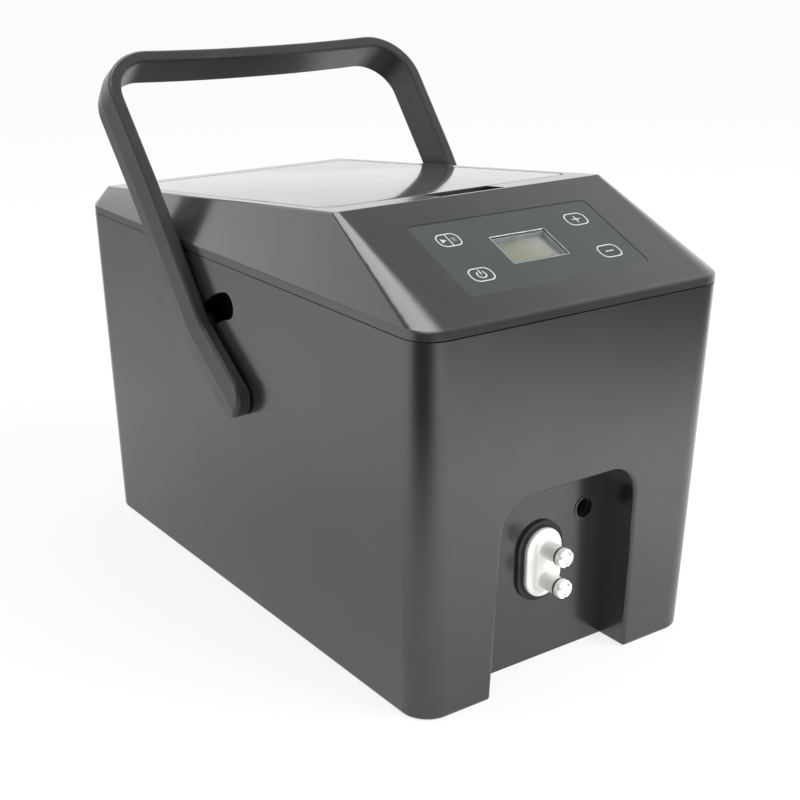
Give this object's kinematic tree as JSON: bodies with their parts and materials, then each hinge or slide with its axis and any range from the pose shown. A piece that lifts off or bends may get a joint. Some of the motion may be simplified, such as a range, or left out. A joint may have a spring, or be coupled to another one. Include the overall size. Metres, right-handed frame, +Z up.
{
  "type": "hot cold therapy machine",
  "caption": "Tabletop hot and cold therapy machine: insulated water tank with lift-off lid, swinging carry handle, sloped key panel, display and a twin-nozzle hose coupling in a front recess.",
  "frame": {"origin": "middle of the bottom of the object's box, on the ground under the feet", "axes": "+Z up, -Y towards the control panel and the hose coupling, +X to the right seen from the front"},
  "size_m": [0.2692, 0.4302, 0.3649],
  "materials": {
    "casing_plastic": "satin moulded, charcoal",
    "lid_plastic": "polished, charcoal",
    "handle_plastic": "satin moulded, charcoal",
    "foot_rubber": "matt black",
    "steel": "zinc bright",
    "tank_plastic": "smooth white",
    "foam": "cellular, black",
    "panel_film": "satin film, green-black",
    "key_plastic": "satin with a pale ring",
    "display_glass": "clear window",
    "display_cell": "grey-green reflective cell",
    "board_laminate": "green laminate",
    "switch_plastic": "black moulded",
    "coupling_plastic": "white moulded",
    "bush_plastic": "natural bearing plastic",
    "pump_plastic": "black moulded",
    "motor_can": "grey enamel",
    "hose_rubber": "black tube"
  },
  "bodies": {
    "base": {"board_screws": "steel", "control_board": "board_laminate", "coupling_body": "coupling_plastic", "coupling_clamp": "coupling_plastic", "coupling_gasket": "foot_rubber", "coupling_screws": "steel", "display_lens": "display_glass", "display_module": "display_cell", "handle_bushes": "bush_plastic", "hose_clamps": "steel", "housing_screws": "steel", "inner_tank": "tank_plastic", "intake_filter": "pump_plastic", "key_switches": "switch_plastic", "motor_cable": "hose_rubber", "nozzle_o_rings": "foot_rubber", "outer_tub": "casing_plastic", "panel_overlay": "panel_film", "power_cable": "hose_rubber", "power_socket": "switch_plastic", "power_socket_nut": "switch_plastic", "pump_body": "pump_plastic", "pump_cover": "pump_plastic", "pump_motor": "motor_can", "pump_screws": "steel", "return_hose": "hose_rubber", "rubber_feet": "foot_rubber", "socket_bezel": "casing_plastic", "suction_hose": "hose_rubber", "supply_hose": "hose_rubber", "tank_fittings": "pump_plastic", "tank_foam": "foam", "tank_nuts": "pump_plastic", "tank_screws": "steel", "temperature_probe": "steel", "top_housing": "casing_plastic"},
    "lid": {"lid_cover": "lid_plastic", "lid_liner": "tank_plastic", "lid_foam": "foam", "lid_seal": "foot_rubber"},
    "handle": {"carry_handle": "handle_plastic", "handle_pivot_pins": "steel", "handle_clips": "steel", "handle_stop_pegs": "handle_plastic"},
    "key_play": {"key_play": "key_plastic"},
    "key_power": {"key_power": "key_plastic"},
    "key_plus": {"key_plus": "key_plastic"},
    "key_minus": {"key_minus": "key_plastic"},
    "poppet_upper": {"valve_poppet_upper": "coupling_plastic", "valve_spring_upper": "steel"},
    "poppet_lower": {"valve_poppet_lower": "coupling_plastic", "valve_spring_lower": "steel"},
    "impeller": {"pump_impeller": "pump_plastic", "pump_shaft": "steel"}
  },
  "joints": [
    {"name": "handle_swing", "type": "hinge", "parent": "base", "child": "handle", "pos_m": [0, -0.0115, 0.1571], "axis": [1, 0, 0], "range_deg": [0, 40.8]},
    {"name": "lid_lift", "type": "slide", "parent": "base", "child": "lid", "axis": [0, 0.1102, 0.9939], "range_m": [0, 0.045]},
    {"name": "key_play_press", "type": "slide", "parent": "base", "child": "key_play", "axis": [0, 0.4104, -0.9119], "range_m": [0, 0.0004], "stiffness_N_per_m": 1500},
    {"name": "key_power_press", "type": "slide", "parent": "base", "child": "key_power", "axis": [0, 0.4104, -0.9119], "range_m": [0, 0.0004], "stiffness_N_per_m": 1500},
    {"name": "key_plus_press", "type": "slide", "parent": "base", "child": "key_plus", "axis": [0, 0.4104, -0.9119], "range_m": [0, 0.0004], "stiffness_N_per_m": 1500},
    {"name": "key_minus_press", "type": "slide", "parent": "base", "child": "key_minus", "axis": [0, 0.4104, -0.9119], "range_m": [0, 0.0004], "stiffness_N_per_m": 1500},
    {"name": "poppet_upper_push", "type": "slide", "parent": "base", "child": "poppet_upper", "axis": [0, 1, 0], "range_m": [0, 0.003], "stiffness_N_per_m": 1500},
    {"name": "poppet_lower_push", "type": "slide", "parent": "base", "child": "poppet_lower", "axis": [0, 1, 0], "range_m": [0, 0.003], "stiffness_N_per_m": 1500},
    {"name": "impeller_spin", "type": "hinge", "parent": "base", "child": "impeller", "pos_m": [-0.058, -0.125, 0.034], "axis": [0, 1, 0], "continuous": true}
  ]
}
